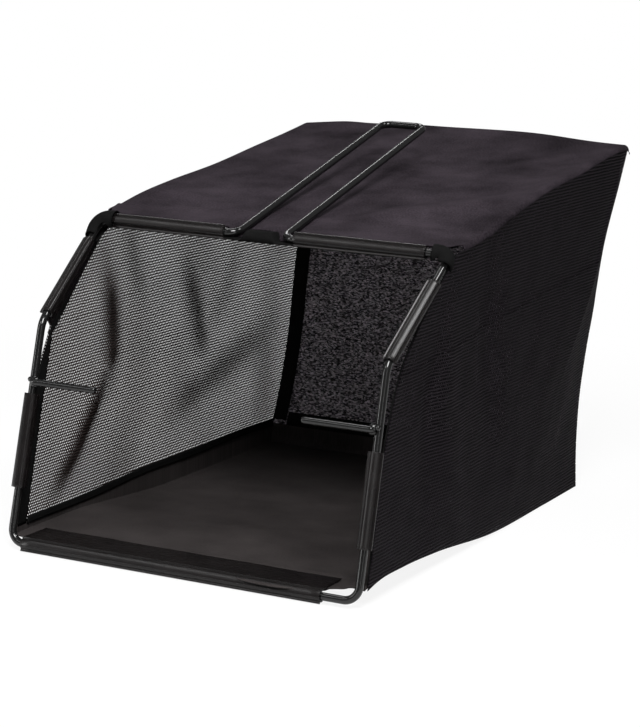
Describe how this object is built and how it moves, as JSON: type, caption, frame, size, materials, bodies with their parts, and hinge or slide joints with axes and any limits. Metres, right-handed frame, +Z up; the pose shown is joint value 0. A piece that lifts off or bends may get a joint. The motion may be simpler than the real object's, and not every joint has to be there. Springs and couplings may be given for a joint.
{
  "type": "grass collection bag",
  "caption": "Soft grass catcher for a lawn machine: a bent wire mouth frame with a carrying handle and hanging pegs, mesh sides, and clips that hold the cloth.",
  "frame": {"origin": "middle of the bag's bounding box in X and Y, on the ground in Z", "axes": "+Y runs from the mouth to the back of the bag, +Z is up, +X is to the right seen from the mouth"},
  "size_m": [0.312, 0.4978, 0.3046],
  "materials": {
    "black_enamelled_steel": "glossy black coating",
    "glossy_clip_plastic": "glossy extruded plastic",
    "smooth_dark_cloth": "smooth tightly woven cloth",
    "black_mesh_cloth": "ribbed see-through mesh",
    "coarse_dark_cloth": "coarse speckled weave",
    "coated_floor_cloth": "smooth coated cloth",
    "binding_tape": "dull woven tape"
  },
  "bodies": {
    "root": {"wire_frame": "black_enamelled_steel", "handle_left_leg": "black_enamelled_steel", "handle_right_leg": "black_enamelled_steel", "handle_cross_bar": "black_enamelled_steel", "peg_left": "black_enamelled_steel", "peg_right": "black_enamelled_steel", "top_panel": "smooth_dark_cloth", "back_panel": "coarse_dark_cloth", "floor_panel": "coated_floor_cloth", "left_mesh_panel": "black_mesh_cloth", "right_mesh_panel": "black_mesh_cloth", "clip_top_left": "glossy_clip_plastic", "clip_top_right": "glossy_clip_plastic", "clip_bottom": "glossy_clip_plastic", "clip_left_lower": "glossy_clip_plastic", "clip_left_upper": "glossy_clip_plastic", "clip_right_lower": "glossy_clip_plastic", "clip_right_upper": "glossy_clip_plastic", "top_hem": "binding_tape", "bottom_hem": "binding_tape", "left_hem": "binding_tape", "right_hem": "binding_tape", "back_bottom_seam_tape": "binding_tape", "back_top_seam_tape": "binding_tape", "back_left_seam_tape": "binding_tape", "back_right_seam_tape": "binding_tape", "top_left_seam_tape": "binding_tape", "top_right_seam_tape": "binding_tape", "floor_left_seam_tape": "binding_tape", "floor_right_seam_tape": "binding_tape"}
  },
  "joints": []
}
